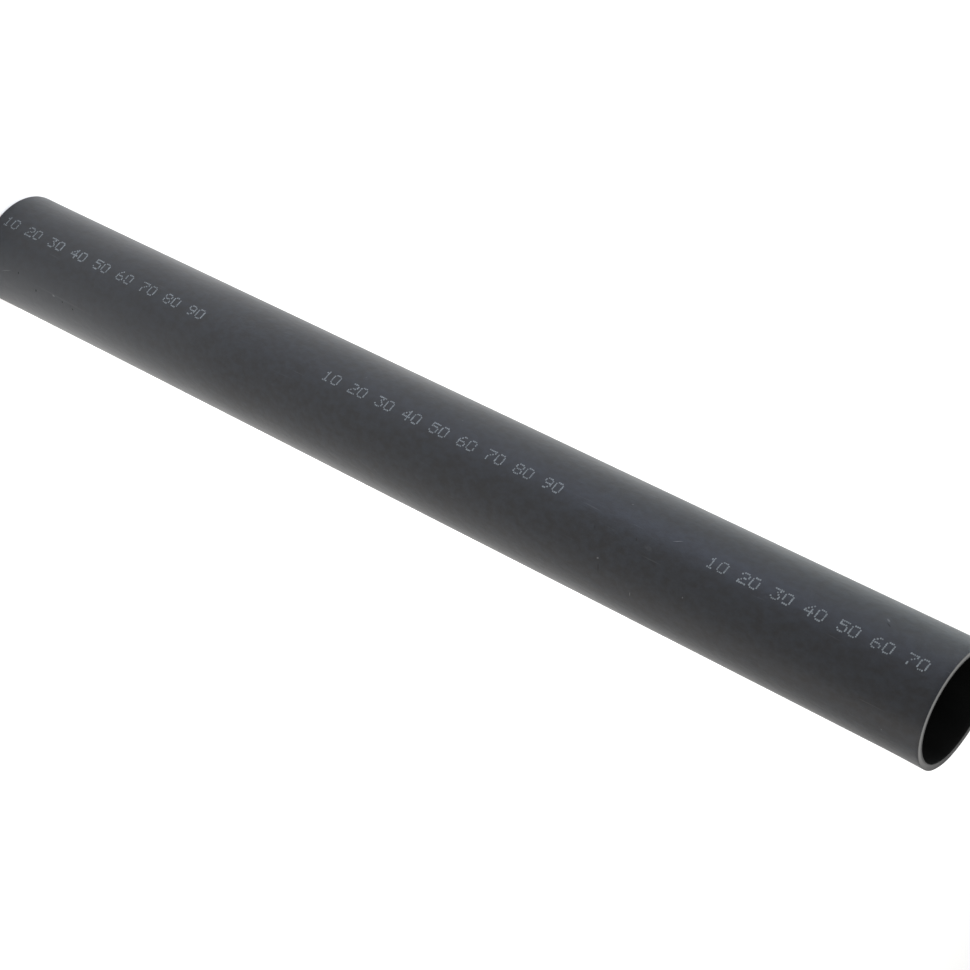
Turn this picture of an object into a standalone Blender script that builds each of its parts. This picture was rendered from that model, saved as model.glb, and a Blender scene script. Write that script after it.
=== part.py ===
"""Heat shrink tube: a cut piece of expanded heavy-wall polyolefin tubing.

One extruded piece, round and straight, with a square cut at each end. It
stands on one cut end. The origin is in the middle of that end, on the surface
that it stands on, and +Z runs up the tube to the other end.
"""

from math import pi, radians

import bmesh
import bpy

# Driving dimensions, in metres
BORE_DIAMETER = 0.01905   # supplied inside diameter, the 3/4 inch size
WALL = 0.0011             # wall as supplied, before it is shrunk
LENGTH = 0.207            # cut length, from end face to end face
CUT_EDGE_BREAK = 0.0001   # width by which a cut leaves the corners of the wall broken

# How finely the round is divided
SIDES = 96

# Finish of the polyolefin: near black, satin
TUBE_COLOUR = (0.034, 0.035, 0.041, 1.0)
TUBE_ROUGHNESS = 0.48

SHARP_ANGLE = radians(30)


def clear_scene():
    """Remove whatever the file was opened with."""
    for old in list(bpy.data.objects):
        bpy.data.objects.remove(old, do_unlink=True)


def make_collection(name):
    """A collection of that name, linked to the scene."""
    collection = bpy.data.collections.new(name)
    bpy.context.scene.collection.children.link(collection)
    return collection


def polyolefin():
    """Satin black cross-linked polyolefin."""
    material = bpy.data.materials.new("black_polyolefin")
    material.use_nodes = True
    shader = material.node_tree.nodes["Principled BSDF"]
    shader.inputs["Base Color"].default_value = TUBE_COLOUR
    shader.inputs["Roughness"].default_value = TUBE_ROUGHNESS
    shader.inputs["Metallic"].default_value = 0.0
    return material


def wall_section(inner_radius, wall, length, edge_break):
    """Corners of the wall's section in the XZ plane, down the outer side and up the bore."""
    outer_radius = inner_radius + wall
    return [
        (outer_radius, 0.0, length - edge_break),
        (outer_radius, 0.0, edge_break),
        (outer_radius - edge_break, 0.0, 0.0),
        (inner_radius + edge_break, 0.0, 0.0),
        (inner_radius, 0.0, edge_break),
        (inner_radius, 0.0, length - edge_break),
        (inner_radius + edge_break, 0.0, length),
        (outer_radius - edge_break, 0.0, length),
    ]


def section_mesh(name, corners):
    """A closed loop of edges through the corners."""
    loop = bmesh.new()
    points = [loop.verts.new(corner) for corner in corners]
    for start, end in zip(points, points[1:] + points[:1]):
        loop.edges.new((start, end))
    mesh = bpy.data.meshes.new(name)
    loop.to_mesh(mesh)
    loop.free()
    return mesh


def turn(piece, merge_distance):
    """Turn a section once round Z with a Screw modifier, and keep the result as the mesh."""
    screw = piece.modifiers.new("turn", "SCREW")
    screw.axis = "Z"
    screw.angle = 2 * pi
    screw.steps = SIDES
    screw.render_steps = SIDES
    screw.use_merge_vertices = True
    screw.merge_threshold = merge_distance

    depsgraph = bpy.context.evaluated_depsgraph_get()
    section = piece.data
    piece.data = bpy.data.meshes.new_from_object(piece.evaluated_get(depsgraph))
    piece.data.name = piece.name
    piece.modifiers.clear()
    bpy.data.meshes.remove(section)


def build_tube(collection):
    """The tube, one piece from end to end."""
    corners = wall_section(BORE_DIAMETER / 2, WALL, LENGTH, CUT_EDGE_BREAK)
    tube = bpy.data.objects.new("tube", section_mesh("tube_section", corners))
    collection.objects.link(tube)
    turn(tube, merge_distance=WALL / 100)
    tube.data.shade_smooth()
    tube.data.set_sharp_from_angle(angle=SHARP_ANGLE)
    tube.data.materials.append(polyolefin())
    return tube


def main():
    clear_scene()
    build_tube(make_collection("heat_shrink_tube"))


main()
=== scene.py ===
"""Looks of a heavy-wall heat shrink tube that stands on one of its cut ends.

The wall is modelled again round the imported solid, with knife-cut ends, broken edges and the slight
waver of an extruded tube, and plain counting numbers are jetted along its side in dots of ink.
"""

import random
from math import cos, hypot, radians, sin, tan

import bpy
from mathutils import Matrix, Quaternion, Vector


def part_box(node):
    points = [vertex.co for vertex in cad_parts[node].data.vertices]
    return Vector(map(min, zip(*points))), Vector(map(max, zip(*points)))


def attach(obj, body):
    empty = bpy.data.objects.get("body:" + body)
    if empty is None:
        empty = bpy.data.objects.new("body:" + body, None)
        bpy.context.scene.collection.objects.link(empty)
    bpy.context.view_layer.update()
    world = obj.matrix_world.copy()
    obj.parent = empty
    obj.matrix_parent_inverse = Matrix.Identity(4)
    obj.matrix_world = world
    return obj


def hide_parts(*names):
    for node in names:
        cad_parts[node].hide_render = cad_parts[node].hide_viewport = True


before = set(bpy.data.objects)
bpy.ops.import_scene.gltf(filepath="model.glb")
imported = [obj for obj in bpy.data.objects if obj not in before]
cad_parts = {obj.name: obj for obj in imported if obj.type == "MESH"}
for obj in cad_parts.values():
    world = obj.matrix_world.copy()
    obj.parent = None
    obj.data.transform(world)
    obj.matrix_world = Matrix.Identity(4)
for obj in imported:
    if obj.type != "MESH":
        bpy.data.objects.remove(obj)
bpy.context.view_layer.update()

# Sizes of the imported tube, in metres
tube_low, tube_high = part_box("tube")
OUTER_RADIUS = (tube_high.x - tube_low.x) / 2
LENGTH = tube_high.z - tube_low.z
BORE_RADIUS = min(hypot(v.co.x, v.co.y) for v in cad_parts["tube"].data.vertices)
WALL = OUTER_RADIUS - BORE_RADIUS

# How finely the wall is modelled
SIDES = 192
RINGS_ALONG = 70
RINGS_ACROSS_CUT = 3
SMOOTH_ANGLE = radians(40)
CUT_LEVEL = 0.7           # how level a face is at least, to be part of a cut
ROUNDED_CUT_LEVEL = 0.6   # the same once the rims are rounded

# The two cuts. The top one is a little off square, as a hand-fed blade leaves it
TOP_CUT_TILT = radians(2.125)
TOP_CUT_HIGH_SIDE = radians(-86.9)   # round Z from -Y towards +X
BLADE_AND_SHADE_COURSE = radians(150)          # the way the blade goes through, and the way the painted shade on the cut faces deepens, at the same angles
TRIM_ALLOWANCE = 0.002
EDGE_BREAK = 0.00008
EDGE_BREAK_STEPS = 3

# The place where the blade pressed the top end a little out of round as it left
PRESSED_SIDE = radians(116)
PRESS_DEPTH = 0.00028
PRESS_REACH = 0.0065
PRESSED_SPOT = WALL * 1.5

# The waver that cooling leaves in the skin
WAVER_DEPTH = 0.00003
WAVER_SPACING = 0.018
WAVER_START = EDGE_BREAK * 4
WAVER_END = LENGTH - WALL

# The camera of the photograph, round the standing tube
CAMERA_PLACE = Vector((0.0, -0.37100, 0.33433))
CAMERA_AIM = Vector((0.00151, 0.0, 0.11546))
CAMERA_ROLL = radians(116.282)
LENS_MM = 94.480
SENSOR_MM = 36.0


def start_piece():
    """Deselect everything, so that the next operator acts on the new piece alone."""
    bpy.ops.object.select_all(action="DESELECT")


def pick(piece, kind, test):
    """In edit mode, select just the vertices, edges or faces of the piece that pass the test."""
    bpy.ops.mesh.select_all(action="DESELECT")
    bpy.ops.mesh.select_mode(type=kind)
    bpy.ops.object.mode_set(mode="OBJECT")
    mesh = piece.data
    elements = {"VERT": mesh.vertices, "EDGE": mesh.edges, "FACE": mesh.polygons}[kind]
    for element in elements:
        element.select = test(element)
    bpy.ops.object.mode_set(mode="EDIT")


def heights(mesh, edge):
    """Heights of an edge's two ends."""
    return [mesh.vertices[index].co.z for index in edge.vertices]


def around(angle, radius, height):
    """A point at that angle round the tube, from -Y towards +X."""
    return Vector((radius * sin(angle), -radius * cos(angle), height))


def build_wall():
    """The wall of the tube: two skins, trimmed by the blade's planes and closed across each cut."""
    start_piece()
    blank = LENGTH + TRIM_ALLOWANCE
    bpy.ops.mesh.primitive_cylinder_add(
        vertices=SIDES, radius=OUTER_RADIUS, depth=blank, end_fill_type="NOTHING", location=(0, 0, blank / 2)
    )
    wall = bpy.context.object
    wall.name = wall.data.name = "tube_wall"
    bpy.ops.object.transform_apply(location=True, rotation=True, scale=True)

    bpy.ops.object.mode_set(mode="EDIT")
    bpy.ops.mesh.select_all(action="SELECT")
    bpy.ops.mesh.duplicate()
    shrink = BORE_RADIUS / OUTER_RADIUS
    bpy.ops.transform.resize(value=(shrink, shrink, 1), center_override=(0, 0, 0))
    bpy.ops.mesh.flip_normals()

    middle = LENGTH / 2
    pick(wall, "EDGE", lambda edge: min(heights(wall.data, edge)) < middle < max(heights(wall.data, edge)))
    bpy.ops.mesh.subdivide(number_cuts=RINGS_ALONG)

    slope = tan(TOP_CUT_TILT)
    blade = Vector((-slope * sin(TOP_CUT_HIGH_SIDE), slope * cos(TOP_CUT_HIGH_SIDE), 1)).normalized()
    bpy.ops.mesh.select_all(action="SELECT")
    bpy.ops.mesh.bisect(plane_co=(0, 0, LENGTH), plane_no=blade, clear_outer=True, use_fill=False)

    for is_top in (True, False):
        close_cut(wall, is_top)
    bpy.ops.mesh.select_all(action="SELECT")
    bpy.ops.mesh.normals_make_consistent(inside=False)
    break_edges(wall)
    press_rim(wall)
    bpy.ops.object.mode_set(mode="OBJECT")

    waver(wall)
    bpy.ops.object.shade_smooth_by_angle(angle=SMOOTH_ANGLE)
    for material in (skin_material(), cut_material(), bore_material()):
        wall.data.materials.append(material)
    for face in wall.data.polygons:
        face.material_index = surface_of(face)
    return wall


def close_cut(wall, is_top):
    """Bridge the two skins across one cut, in rings that leave the face a few steps wide."""
    counts = {}
    for face in faces_now(wall):
        for key in face.edge_keys:
            counts[key] = counts.get(key, 0) + 1
    pick(wall, "EDGE", lambda edge: counts.get(edge.key, 0) == 1
         and (min(heights(wall.data, edge)) > LENGTH / 2) == is_top)
    bpy.ops.mesh.bridge_edge_loops(number_cuts=RINGS_ACROSS_CUT, interpolation="LINEAR")


def faces_now(wall):
    """The faces of the piece as they are in edit mode now."""
    wall.update_from_editmode()
    return wall.data.polygons


def break_edges(wall):
    """Round the rims over where a skin meets a cut face."""
    faces_now(wall)
    mesh = wall.data
    flat = {}
    for face in mesh.polygons:
        for key in face.edge_keys:
            flat.setdefault(key, []).append(abs(face.normal.z) > CUT_LEVEL)
    rims = {key for key, sides in flat.items() if True in sides and False in sides}
    pick(wall, "EDGE", lambda edge: edge.key in rims)
    bpy.ops.mesh.bevel(offset=EDGE_BREAK, segments=EDGE_BREAK_STEPS, affect="EDGES")


def press_rim(wall):
    """Push the top end outward at one side, less and less with the distance from there."""
    spot = around(PRESSED_SIDE, OUTER_RADIUS, LENGTH)
    pick(wall, "VERT", lambda vertex: (vertex.co - spot).length < PRESSED_SPOT)
    bpy.ops.transform.translate(
        value=around(PRESSED_SIDE, PRESS_DEPTH, 0), use_proportional_edit=True,
        proportional_edit_falloff="SMOOTH", proportional_size=PRESS_REACH
    )


def waver(wall):
    """Move the skins in and out by hundredths of a millimetre, and leave the cut faces flat."""
    skins = wall.vertex_groups.new(name="skins")
    free = [v.index for v in wall.data.vertices if WAVER_START < v.co.z < WAVER_END]
    skins.add(free, 1.0, "REPLACE")
    field = bpy.data.textures.new("cooling_waver", "CLOUDS")
    field.noise_scale = WAVER_SPACING
    shift = wall.modifiers.new("waver", "DISPLACE")
    shift.texture = field
    shift.texture_coords = "LOCAL"
    shift.strength = WAVER_DEPTH
    shift.mid_level = 0.5
    shift.vertex_group = skins.name
    bpy.ops.object.modifier_apply(modifier=shift.name)
    wall.vertex_groups.clear()


def surface_of(face):
    """0 on the outer skin, 1 on a cut face, 2 in the bore."""
    centre = face.center
    if abs(face.normal.z) > ROUNDED_CUT_LEVEL:
        return 1
    return 0 if hypot(centre.x, centre.y) > BORE_RADIUS + WALL / 2 else 2


# Plain counting numbers in dots of ink, with sizes in metres and angles round the tube
PRINT_TEXT = "10 20 30 40 50 60 70 80 90"
PRINT_START = 0.0017        # height of the first block's start
PRINT_REPEAT = 0.08105      # from the start of one block to the next
PRINT_BLOCKS = 3
COLUMN_PITCH = 0.000336
ROW_PITCH = 0.000298
CELL_COLUMNS = 6
PRINT_FOOT = radians(-13.6)
PRINT_LEAN = 0.1            # how far the top of a digit runs ahead, as a share of its height
PRINT_END_MARGIN = 0.0005
DOT_RADIUS = 0.00016
DOT_SIDES = 8
DOT_HEIGHT = 0.000012
DOT_ROOT = 0.000006
OUTWARD = -0.5              # a dot's top faces this far towards -Y at least
DOT_CROWN = 0.8            # width of a dot's top, as a share of its foot
DOT_WANDER = 0.000025
DOT_SIZE_SPREAD = 0.14
DOT_MISS_SHARE = 0.02
PRINT_SEED = 4

GLYPHS = {
    "0": (".###.", "#...#", "#...#", "#...#", "#...#", "#...#", ".###."),
    "1": ("..#..", ".##..", "..#..", "..#..", "..#..", "..#..", ".###."),
    "2": (".###.", "#...#", "....#", "..##.", ".#...", "#....", "#####"),
    "3": ("#####", "...#.", "..#..", "...#.", "....#", "#...#", ".###."),
    "4": ("...#.", "..##.", ".#.#.", "#..#.", "#####", "...#.", "...#."),
    "5": ("#####", "#....", "####.", "....#", "....#", "#...#", ".###."),
    "6": ("..##.", ".#...", "#....", "####.", "#...#", "#...#", ".###."),
    "7": ("#####", "....#", "...#.", "..#..", ".#...", ".#...", ".#..."),
    "8": (".###.", "#...#", "#...#", ".###.", "#...#", "#...#", ".###."),
    "9": (".###.", "#...#", "#...#", ".####", "....#", "...#.", ".##.."),
}


def printed_points():
    """Angle and height of every dot of ink, block after block up the tube."""
    for block in range(PRINT_BLOCKS):
        start = PRINT_START + block * PRINT_REPEAT
        for cell, letter in enumerate(PRINT_TEXT):
            first_column = start + cell * CELL_COLUMNS * COLUMN_PITCH
            if first_column + CELL_COLUMNS * COLUMN_PITCH > LENGTH - PRINT_END_MARGIN:
                break
            for row, dots in enumerate(reversed(GLYPHS.get(letter, ()))):
                rise = row * ROW_PITCH
                angle = PRINT_FOOT - rise / OUTER_RADIUS
                for column, dot in enumerate(dots):
                    if dot == "#":
                        yield angle, first_column + column * COLUMN_PITCH + rise * PRINT_LEAN


def build_ink_dot():
    """One low drop of dried ink at the front of the tube, its root just inside the skin."""
    start_piece()
    bpy.ops.mesh.primitive_cylinder_add(
        vertices=DOT_SIDES, radius=DOT_RADIUS, depth=DOT_HEIGHT + DOT_ROOT, end_fill_type="NGON",
        location=(0, -OUTER_RADIUS - (DOT_HEIGHT - DOT_ROOT) / 2, 0), rotation=(radians(90), 0, 0)
    )
    dot = bpy.context.object
    dot.name = dot.data.name = "ink_dot"
    bpy.ops.object.transform_apply(location=True, rotation=True, scale=True)
    bpy.ops.object.mode_set(mode="EDIT")
    pick(dot, "FACE", lambda face: face.normal.y < OUTWARD)
    bpy.ops.transform.resize(value=(DOT_CROWN, 1, DOT_CROWN), center_override=(0, 0, 0))
    bpy.ops.object.mode_set(mode="OBJECT")
    return dot


def build_print():
    """Every dot of the numbers, as one piece of ink on the tube's side."""
    dot = build_ink_dot()
    shake = random.Random(PRINT_SEED)
    copies = []
    for angle, height in printed_points():
        if shake.random() < DOT_MISS_SHARE:
            continue
        copy = bpy.data.objects.new("ink_dot_copy", dot.data.copy())
        bpy.context.scene.collection.objects.link(copy)
        size = 1 + shake.uniform(-DOT_SIZE_SPREAD, DOT_SIZE_SPREAD)
        turn = angle + shake.uniform(-DOT_WANDER, DOT_WANDER) / OUTER_RADIUS
        rise = height + shake.uniform(-DOT_WANDER, DOT_WANDER)
        place = Matrix.Translation((0, 0, rise)) @ Matrix.Rotation(turn, 4, "Z")
        copy.data.transform(place @ Matrix.Diagonal((size, 1, size, 1)))
        copies.append(copy)
    start_piece()
    for copy in copies:
        copy.select_set(True)
    bpy.context.view_layer.objects.active = copies[0]
    bpy.ops.object.join()
    digits = bpy.context.object
    digits.name = digits.data.name = "printed_digits"
    bpy.data.objects.remove(dot, do_unlink=True)
    digits.data.materials.append(ink_material())
    return digits


# Colours of the finishes, as linear light
SKIN_DEEP = (0.0004, 0.0007, 0.0022, 1)
SKIN_PALE = (0.0044, 0.0068, 0.0112, 1)
# painted light: a paler skin colour laid on near the foot
SKIN_PAINTED_LIGHT = (0.035, 0.038, 0.042, 1)
SCUFF_GREY = (0.11, 0.115, 0.12, 1)
PIT_BLACK = (0.002, 0.002, 0.0025, 1)
# the cut face's own pale colour, which also makes its painted highlight, and the painted shade that also
# colours its drag lines
CUT_PALE = (0.074, 0.075, 0.075, 1)
CUT_SHADE_AND_DRAG = (0.008, 0.008, 0.009, 1)
BORE_DEEP = (0.004, 0.004, 0.004, 1)
BORE_PALE = (0.008, 0.008, 0.008, 1)
INK_THIN = (0.094, 0.106, 0.113, 1)
INK_FULL = (0.163, 0.181, 0.193, 1)

# Painted light: the skin is paler near the foot, most of it on the +X side
FOOT_LIGHT_HEIGHT = 0.065
FOOT_LIGHT_LEFT_SHARE = 0.2
FOOT_LIGHT_FULL_SIDE = OUTER_RADIUS * 0.7

# The skin: sizes in metres, strengths as shares of a full coat or of the relief's depth
SKIN_ROUGHNESS = (0.425, 0.475)
SKIN_CLOUD = 0.008
SKIN_MOTTLE = 0.0011
SKIN_LINES = 0.0009
SKIN_GRAIN = 0.00025
SKIN_RELIEF = 0.000010
GRAIN_HEIGHT = 0.8
LINE_HEIGHT = 0.6
MOTTLE_HEIGHT = 1.5
PIT_HEIGHT = -1.5
PIT_ROUGHNESS = 0.3
RUB_STRENGTH = 0.12
STREAK_STRENGTH = 0.08
SPECK_STRENGTH = 0.35
MARK_STRENGTH = 0.5

# The cut faces: the painted highlight line's place and widths as shares of the wall, the painted shade beside
# it, and the reach of the painted shade across the face
CUT_HIGHLIGHT_LINE = 0.68
CUT_HIGHLIGHT_CORE = 0.15
CUT_HIGHLIGHT_EDGE = 0.45
CUT_SHADE_BESIDE_HIGHLIGHT = 0.8
CUT_SHADE_REACH = OUTER_RADIUS * 1.1
CUT_GRAIN = 0.00016
CUT_CLOUD = 0.0016
CUT_RELIEF = 0.000008
CUT_GRAIN_HEIGHT = 0.5
DRAG_STRENGTH = 0.3
CUT_CLOUD_STRENGTH = 0.15

# The bore and the ink
BORE_CLOUD = 0.009
BORE_LINES = 0.0006
BORE_RELIEF = 0.000005
BORE_SPECK_STRENGTH = 0.15
INK_CLOUD = 0.0005
INK_GRAIN = 0.00006
INK_RELIEF = 0.000002

# How the patterns are cut from their noise
CLOUD_LOW, CLOUD_HIGH = 0.32, 0.68
RUB_LEVEL, RUB_LEVEL_DROP, RUB_SOFTNESS = 0.80, 0.3, 0.06
RUBBED_AREAS_PER_METRE = 130.0
RUBBED_LOW, RUBBED_HIGH = 0.52, 0.66
MARK_CORE = 0.45            # share of a mark's size over which it is full

# Small marks on the skin: angle round the tube, height, lean from upright, half length, half width
PALE_MARKS = (
    (radians(-42.5), 0.1940, radians(28), 0.00050, 0.00020),
    (radians(30.7), 0.0196, radians(14), 0.00040, 0.00022),
    (radians(29.0), 0.0066, radians(-20), 0.00150, 0.00008),
    (radians(21.8), 0.1460, radians(-24), 0.00026, 0.00018),
    (radians(-22.3), 0.1575, radians(-28), 0.00100, 0.00008),
    (radians(40.2), 0.1531, radians(85), 0.00045, 0.00008),
)
DARK_MARKS = (
    (radians(-38.0), 0.1946, radians(26), 0.00065, 0.00014),
    (radians(25.2), 0.0099, radians(64), 0.00028, 0.00018),
    (radians(34.6), 0.0149, radians(89), 0.00034, 0.00020),
    (radians(32.7), 0.0220, radians(46), 0.00022, 0.00016),
    (radians(35.1), 0.0248, radians(48), 0.00024, 0.00017),
    (radians(29.8), 0.1465, radians(78), 0.00115, 0.00010),
    (radians(-1.4), 0.1435, radians(60), 0.00050, 0.00010),
    (radians(-7.5), 0.1511, radians(59), 0.00038, 0.00009),
)
FAINT_STREAKS = (
    (radians(30.1), 0.0220, radians(2), 0.00950, 0.00022),
    (radians(-5.4), 0.1537, radians(6), 0.00090, 0.00045),
)


def new_group(name, inputs, outputs):
    """An empty shader group. An input is its name, kind and value, an output its name and kind."""
    group = bpy.data.node_groups.new(name, "ShaderNodeTree")
    for label, kind, value in inputs:
        group.interface.new_socket(label, in_out="INPUT", socket_type=kind).default_value = value
    for label, kind in outputs:
        group.interface.new_socket(label, in_out="OUTPUT", socket_type=kind)
    return group, group.nodes.new("NodeGroupInput"), group.nodes.new("NodeGroupOutput")


def feed(tree, socket, value):
    """Link a socket to another one, or set it to a plain value."""
    if isinstance(value, bpy.types.NodeSocket):
        tree.links.new(value, socket)
    else:
        socket.default_value = value


def shader_node(tree, kind, result, settings=None, **values):
    """The named result of a new node, with its settings made and its sockets fed."""
    node = tree.nodes.new(kind)
    for name, setting in (settings or {}).items():
        setattr(node, name, setting)
    for name, value in values.items():
        feed(tree, node.inputs[name.replace("_", " ")], value)
    return node.outputs[result]


def calculate(tree, operation, *values):
    """The result of a Math node on sockets or plain numbers."""
    node = tree.nodes.new("ShaderNodeMath")
    node.operation = operation
    for socket, value in zip(node.inputs, values):
        feed(tree, socket, value)
    return node.outputs["Value"]


def spread(tree, value, low, high, to_low=0.0, to_high=1.0):
    """A value carried from one range to another, and held inside it."""
    return shader_node(tree, "ShaderNodeMapRange", "Result", Value=value, From_Min=low, From_Max=high,
                       To_Min=to_low, To_Max=to_high)


def blend(tree, mask, first, second):
    """A colour that goes from the first to the second as the mask goes from 0 to 1."""
    node = tree.nodes.new("ShaderNodeMix")
    node.data_type = "RGBA"
    feed(tree, node.inputs["Factor"], mask)
    colours = [socket for socket in node.inputs if socket.type == "RGBA"]
    for socket, value in zip(colours, (first, second)):
        feed(tree, socket, value)
    return next(socket for socket in node.outputs if socket.type == "RGBA")


def coated(tree, colour, *coats):
    """A colour under coats, each one a mask, its strength and its own colour."""
    for mask, strength, coat in coats:
        colour = blend(tree, calculate(tree, "MULTIPLY", mask, strength), colour, coat)
    return colour


def added_up(tree, *layers):
    """The sum of layers, each one a height and its share."""
    total = 0.0
    for height, share in layers:
        total = calculate(tree, "ADD", total, calculate(tree, "MULTIPLY", height, share))
    return total


def object_place(tree):
    """The point's place on the piece, in metres."""
    return shader_node(tree, "ShaderNodeTexCoord", "Object")


def stretched(tree, place, scale, turn=(0, 0, 0)):
    """A place with each direction scaled, after a turn."""
    return shader_node(tree, "ShaderNodeMapping", "Vector", Vector=place, Rotation=turn, Scale=scale)


def grain_group():
    """Fine even grain. The size is in metres."""
    group, start, end = new_group(
        "fine_grain", (("Grain Size", "NodeSocketFloat", 0.0003),), (("Height", "NodeSocketFloat"),)
    )
    scale = calculate(group, "DIVIDE", 1.0, start.outputs["Grain Size"])
    height = shader_node(group, "ShaderNodeTexNoise", "Fac", Vector=object_place(group), Scale=scale,
                         Detail=3.0, Roughness=0.6)
    group.links.new(height, end.inputs["Height"])
    return group


def streaks_group():
    """Long faint lines up the tube, as the die draws them."""
    group, start, end = new_group(
        "drawn_streaks",
        (("Spacing", "NodeSocketFloat", 0.001), ("Shortening", "NodeSocketVector", (1, 1, 0.02))),
        (("Height", "NodeSocketFloat"),),
    )
    scale = calculate(group, "DIVIDE", 1.0, start.outputs["Spacing"])
    place = stretched(group, object_place(group), start.outputs["Shortening"])
    height = shader_node(group, "ShaderNodeTexNoise", "Fac", Vector=place, Scale=scale,
                         Detail=4.0, Roughness=0.55)
    group.links.new(height, end.inputs["Height"])
    return group


def patches_group():
    """Soft cloudy patches, longer up the tube than across it."""
    group, start, end = new_group(
        "cloudy_patches",
        (("Patch Size", "NodeSocketFloat", 0.012), ("Shortening", "NodeSocketVector", (1, 1, 0.4))),
        (("Mask", "NodeSocketFloat"),),
    )
    scale = calculate(group, "DIVIDE", 1.0, start.outputs["Patch Size"])
    place = stretched(group, object_place(group), start.outputs["Shortening"])
    cloud = shader_node(group, "ShaderNodeTexNoise", "Fac", Vector=place, Scale=scale,
                        Detail=3.0, Roughness=0.5)
    group.links.new(spread(group, cloud, CLOUD_LOW, CLOUD_HIGH), end.inputs["Mask"])
    return group


def scuffs_group():
    """Sparse thin rubbed lines in one direction, in scattered places."""
    group, start, end = new_group(
        "rubbed_lines",
        (
            ("Turn", "NodeSocketVector", (0, 0, 0)),
            ("Fineness", "NodeSocketVector", (3000, 3000, 120)),
            ("Share", "NodeSocketFloat", 0.3),
        ),
        (("Mask", "NodeSocketFloat"),),
    )
    place = object_place(group)
    line_place = stretched(group, place, start.outputs["Fineness"], start.outputs["Turn"])
    line = shader_node(group, "ShaderNodeTexNoise", "Fac", Vector=line_place, Scale=1.0, Detail=1.0)
    area = shader_node(group, "ShaderNodeTexNoise", "Fac", Vector=place, Scale=RUBBED_AREAS_PER_METRE,
                       Detail=2.0)
    drop = calculate(group, "MULTIPLY", start.outputs["Share"], RUB_LEVEL_DROP)
    limit = calculate(group, "SUBTRACT", RUB_LEVEL, drop)
    thin = spread(group, line, limit, calculate(group, "ADD", limit, RUB_SOFTNESS))
    there = spread(group, area, RUBBED_LOW, RUBBED_HIGH)
    group.links.new(calculate(group, "MULTIPLY", thin, there), end.inputs["Mask"])
    return group


def mark_group():
    """One small mark: full in the middle of an ellipsoid and gone at its edge."""
    group, start, end = new_group(
        "small_mark",
        (
            ("Middle", "NodeSocketVector", (0, 0, 0)),
            ("Lean", "NodeSocketVector", (0, 0, 0)),
            ("Half Size", "NodeSocketVector", (0.001, 0.001, 0.001)),
        ),
        (("Mask", "NodeSocketFloat"),),
    )
    inside = shader_node(
        group, "ShaderNodeMapping", "Vector", {"vector_type": "TEXTURE"}, Vector=object_place(group),
        Location=start.outputs["Middle"], Rotation=start.outputs["Lean"], Scale=start.outputs["Half Size"]
    )
    far = shader_node(group, "ShaderNodeVectorMath", "Value", {"operation": "LENGTH"}, Vector=inside)
    group.links.new(spread(group, far, 1.0, MARK_CORE), end.inputs["Mask"])
    return group


def specks_group():
    """Scattered round specks, such as dust. The spacing is in metres, the size a share of it."""
    group, start, end = new_group(
        "dust_specks",
        (
            ("Spacing", "NodeSocketFloat", 0.003),
            ("Size", "NodeSocketFloat", 0.06),
            ("Share", "NodeSocketFloat", 0.5),
        ),
        (("Mask", "NodeSocketFloat"),),
    )
    cells = group.nodes.new("ShaderNodeTexVoronoi")
    feed(group, cells.inputs["Vector"], object_place(group))
    feed(group, cells.inputs["Scale"], calculate(group, "DIVIDE", 1.0, start.outputs["Spacing"]))
    near = calculate(group, "LESS_THAN", cells.outputs["Distance"], start.outputs["Size"])
    lot = shader_node(group, "ShaderNodeSeparateColor", "Red", Color=cells.outputs["Color"])
    chosen = calculate(group, "LESS_THAN", lot, start.outputs["Share"])
    group.links.new(calculate(group, "MULTIPLY", near, chosen), end.inputs["Mask"])
    return group


def use_group(tree, group, result, **values):
    """The named result of a shader group placed in a material with its own values."""
    node = tree.nodes.new("ShaderNodeGroup")
    node.node_tree = group
    for name, value in values.items():
        feed(tree, node.inputs[name.replace("_", " ")], value)
    return node.outputs[result]


def new_finish(name, roughness, gloss):
    """A material, its tree and its shader, with the even values on the shader's own sockets."""
    material = bpy.data.materials.new(name)
    material.use_nodes = True
    shader = material.node_tree.nodes["Principled BSDF"]
    shader.inputs["Roughness"].default_value = roughness
    shader.inputs["Specular IOR Level"].default_value = gloss
    return material, material.node_tree, shader


def bump(tree, shader, height, depth):
    """Relief of that depth in metres."""
    normal = shader_node(tree, "ShaderNodeBump", "Normal", Height=height, Distance=depth, Strength=1.0)
    tree.links.new(normal, shader.inputs["Normal"])


def mark_mask(tree, marks):
    """A mask of all the small marks in a list."""
    total = 0.0
    for angle, height, lean, half_length, half_width in marks:
        one = use_group(
            tree, groups["mark"], "Mask", Middle=around(angle, OUTER_RADIUS, height), Lean=(0, lean, angle),
            Half_Size=(half_width, half_width, half_length)
        )
        total = calculate(tree, "MAXIMUM", total, one)
    return total


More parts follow.
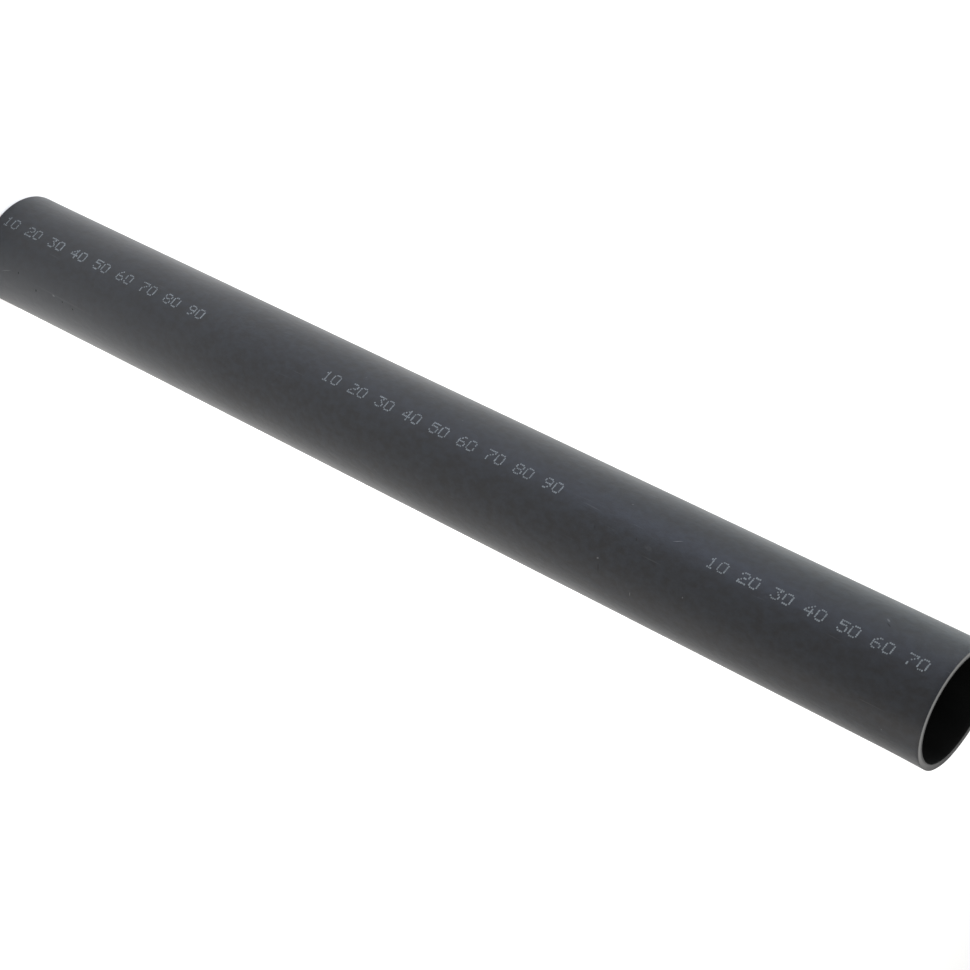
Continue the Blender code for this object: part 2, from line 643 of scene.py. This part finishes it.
def skin_material():
    """Satin black skin: soft patches, faint drawn lines, fine grain, a few rubs, specks and marks, with
    painted light near the foot.
    """
    material, tree, shader = new_finish("satin_black_skin", roughness=0.45, gloss=0.37)
    patches = use_group(tree, groups["patches"], "Mask", Patch_Size=SKIN_CLOUD)
    mottle = use_group(tree, groups["patches"], "Mask", Patch_Size=SKIN_MOTTLE, Shortening=(1, 1, 0.7))
    streaks = use_group(tree, groups["streaks"], "Height", Spacing=SKIN_LINES)
    grain = use_group(tree, groups["grain"], "Height", Grain_Size=SKIN_GRAIN)
    rubs = use_group(tree, groups["scuffs"], "Mask", Turn=(0, 0.10, 0), Share=0.35)
    specks = use_group(tree, groups["specks"], "Mask", Spacing=0.0035, Size=0.035, Share=0.3)
    dark = mark_mask(tree, DARK_MARKS)

    colour = coated(
        tree, blend(tree, mottle, SKIN_DEEP, SKIN_PALE),
        # painted light: the skin made paler near the foot, most on the +X side
        (foot_painted_light_mask(tree), 1.0, SKIN_PAINTED_LIGHT),
        (rubs, RUB_STRENGTH, SCUFF_GREY),
        (mark_mask(tree, FAINT_STREAKS), STREAK_STRENGTH, SCUFF_GREY),
        (specks, SPECK_STRENGTH, SCUFF_GREY),
        (mark_mask(tree, PALE_MARKS), MARK_STRENGTH, SCUFF_GREY),
        (dark, 1.0, PIT_BLACK),
    )
    tree.links.new(colour, shader.inputs["Base Color"])

    rough = spread(tree, patches, 0.0, 1.0, *SKIN_ROUGHNESS)
    tree.links.new(added_up(tree, (rough, 1.0), (dark, PIT_ROUGHNESS)), shader.inputs["Roughness"])
    relief = added_up(
        tree, (grain, GRAIN_HEIGHT), (streaks, LINE_HEIGHT), (mottle, MOTTLE_HEIGHT), (dark, PIT_HEIGHT)
    )
    bump(tree, shader, relief, SKIN_RELIEF)
    return material


def foot_painted_light_mask(tree):
    """Mask of the painted light on the skin: full at the foot on the +X side, weaker on the -X side and gone
    at its height.
    """
    place = shader_node(tree, "ShaderNodeSeparateXYZ", "Z", Vector=object_place(tree))
    side = spread(tree, place.node.outputs["X"], 0.0, FOOT_LIGHT_FULL_SIDE, FOOT_LIGHT_LEFT_SHARE, 1.0)
    return calculate(tree, "MULTIPLY", spread(tree, place, FOOT_LIGHT_HEIGHT, 0.0), side)


def cut_material():
    """Knife-cut face with its drag lines, and painted light: a pale highlight line round the face, painted
    shade beside it, and painted shade that deepens across the face along the blade's course.
    """
    material, tree, shader = new_finish("knife_cut_face", roughness=0.75, gloss=0.12)
    drag = use_group(tree, groups["scuffs"], "Mask", Turn=(0, 0, BLADE_AND_SHADE_COURSE), Fineness=(300, 9000, 300),
                     Share=0.8)
    grain = use_group(tree, groups["grain"], "Height", Grain_Size=CUT_GRAIN)
    patches = use_group(tree, groups["patches"], "Mask", Patch_Size=CUT_CLOUD, Shortening=(1, 1, 1))

    place = object_place(tree)
    # painted shade: the face grows darker across it along the blade's course
    along = shader_node(tree, "ShaderNodeVectorMath", "Value", {"operation": "DOT_PRODUCT"}, Vector=place)
    along.node.inputs[1].default_value = around(BLADE_AND_SHADE_COURSE, 1.0, 0.0)
    painted_shade = spread(tree, along, 0.0, CUT_SHADE_REACH)
    # painted highlight: a pale line round the face at a set share of the wall, with painted shade on both
    # sides of it
    flat_place = stretched(tree, place, (1, 1, 0))
    radius = shader_node(tree, "ShaderNodeVectorMath", "Value", {"operation": "LENGTH"}, Vector=flat_place)
    off_highlight = calculate(tree, "ABSOLUTE", calculate(tree, "SUBTRACT", radius, BORE_RADIUS + WALL * CUT_HIGHLIGHT_LINE))
    shade_beside_highlight = spread(tree, off_highlight, WALL * CUT_HIGHLIGHT_CORE, WALL * CUT_HIGHLIGHT_EDGE, 0.0, CUT_SHADE_BESIDE_HIGHLIGHT)
    colour = coated(
        tree, blend(tree, calculate(tree, "MAXIMUM", painted_shade, shade_beside_highlight), CUT_PALE, CUT_SHADE_AND_DRAG),
        (drag, DRAG_STRENGTH, CUT_SHADE_AND_DRAG),
        (patches, CUT_CLOUD_STRENGTH, CUT_PALE),
    )
    tree.links.new(colour, shader.inputs["Base Color"])
    bump(tree, shader, added_up(tree, (grain, CUT_GRAIN_HEIGHT), (drag, 1.0)), CUT_RELIEF)
    return material


def bore_material():
    """Dark bore, smoother than the skin, with the drawn lines of the die's pin."""
    material, tree, shader = new_finish("dark_bore", roughness=0.42, gloss=0.12)
    patches = use_group(tree, groups["patches"], "Mask", Patch_Size=BORE_CLOUD)
    streaks = use_group(tree, groups["streaks"], "Height", Spacing=BORE_LINES)
    specks = use_group(tree, groups["specks"], "Mask", Spacing=0.0045, Size=0.03, Share=0.3)
    colour = coated(
        tree, blend(tree, patches, BORE_DEEP, BORE_PALE), (specks, BORE_SPECK_STRENGTH, SCUFF_GREY)
    )
    tree.links.new(colour, shader.inputs["Base Color"])
    bump(tree, shader, streaks, BORE_RELIEF)
    return material


def ink_material():
    """Dried grey ink, thinner in some drops than in others."""
    material, tree, shader = new_finish("dried_grey_ink", roughness=0.6, gloss=0.3)
    drops = use_group(tree, groups["patches"], "Mask", Patch_Size=INK_CLOUD, Shortening=(1, 1, 1))
    grain = use_group(tree, groups["grain"], "Height", Grain_Size=INK_GRAIN)
    tree.links.new(blend(tree, drops, INK_THIN, INK_FULL), shader.inputs["Base Color"])
    bump(tree, shader, grain, INK_RELIEF)
    return material


# Studio
FLOOR_SIZE = 12.0
FLOOR_GREY = 0.94
FLOOR_ROUGHNESS = 0.9
ROOM_STRENGTH = 0.71
BODY_MIDDLE = Vector((0, 0, 0.1))
NEAR_FOOT = Vector((0, 0, 0.02))

SOFTBOXES = (
    # name, angle round the tube, distance, height, size, power in watts, tint, what it is aimed at
    ("overhead", radians(180), 0.10, 0.70, 0.50, 5.93, (1.00, 0.97, 0.94), BODY_MIDDLE),
    ("cool_left", radians(-120), 0.70, 0.28, 0.50, 1.90, (0.80, 0.96, 1.00), BODY_MIDDLE),
    ("left_rim", radians(-145), 0.45, 0.26, 0.25, 0.32, (0.95, 0.98, 1.00), BODY_MIDDLE),
    ("warm_back", radians(150), 0.70, 0.28, 0.50, 0.12, (1.00, 0.91, 0.64), BODY_MIDDLE),
    ("near_left", radians(-75), 0.45, 0.16, 0.25, 0.43, (0.81, 0.88, 1.00), BODY_MIDDLE),
    ("near_right", radians(75), 0.45, 0.16, 0.25, 0.25, (1.00, 0.90, 0.80), BODY_MIDDLE),
    ("foot_left", radians(-45), 0.20, 0.08, 0.12, 0.11, (0.60, 0.70, 1.00), NEAR_FOOT),
)


def build_floor():
    """A plain pale floor."""
    start_piece()
    bpy.ops.mesh.primitive_plane_add(size=FLOOR_SIZE, location=(0, 0, 0))
    floor = bpy.context.object
    floor.name = floor.data.name = "floor"
    material = bpy.data.materials.new("matt_white_floor")
    material.use_nodes = True
    shader = material.node_tree.nodes["Principled BSDF"]
    shader.inputs["Base Color"].default_value = (FLOOR_GREY, FLOOR_GREY, FLOOR_GREY, 1)
    shader.inputs["Roughness"].default_value = FLOOR_ROUGHNESS
    floor.data.materials.append(material)


def build_lights():
    """Soft boxes round the tube, cooler on the left and warmer on the right, in an even white room."""
    for name, angle, distance, height, size, power, tint, target in SOFTBOXES:
        light = bpy.data.lights.new(name, "AREA")
        light.shape = "DISK"
        light.size = size
        light.energy = power
        light.color = tint
        box = bpy.data.objects.new(name + "_softbox", light)
        box.location = around(angle, distance, height)
        box.rotation_mode = "QUATERNION"
        box.rotation_quaternion = (target - box.location).to_track_quat("-Z", "Y")
        box.visible_camera = False
        bpy.context.scene.collection.objects.link(box)
    world = bpy.data.worlds.new("white_room")
    world.use_nodes = True
    world.node_tree.nodes["Background"].inputs["Color"].default_value = (1, 1, 1, 1)
    world.node_tree.nodes["Background"].inputs["Strength"].default_value = ROOM_STRENGTH
    bpy.context.scene.world = world


def build_camera():
    """The camera of the photograph."""
    camera = bpy.data.cameras.new("camera")
    camera.lens = LENS_MM
    camera.sensor_width = SENSOR_MM
    eye = bpy.data.objects.new("camera", camera)
    eye.location = CAMERA_PLACE
    eye.rotation_mode = "QUATERNION"
    level = (CAMERA_AIM - CAMERA_PLACE).to_track_quat("-Z", "Y")
    eye.rotation_quaternion = level @ Quaternion((0, 0, 1), CAMERA_ROLL)
    bpy.context.scene.collection.objects.link(eye)
    bpy.context.scene.camera = eye


groups = {
    "grain": grain_group(),
    "streaks": streaks_group(),
    "patches": patches_group(),
    "scuffs": scuffs_group(),
    "mark": mark_group(),
    "specks": specks_group(),
}

tube_wall = build_wall()
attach(tube_wall, "root")
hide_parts("tube")

printed_digits = build_print()
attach(printed_digits, "root")

build_floor()
build_lights()
build_camera()
bpy.context.scene.view_settings.view_transform = "Standard"
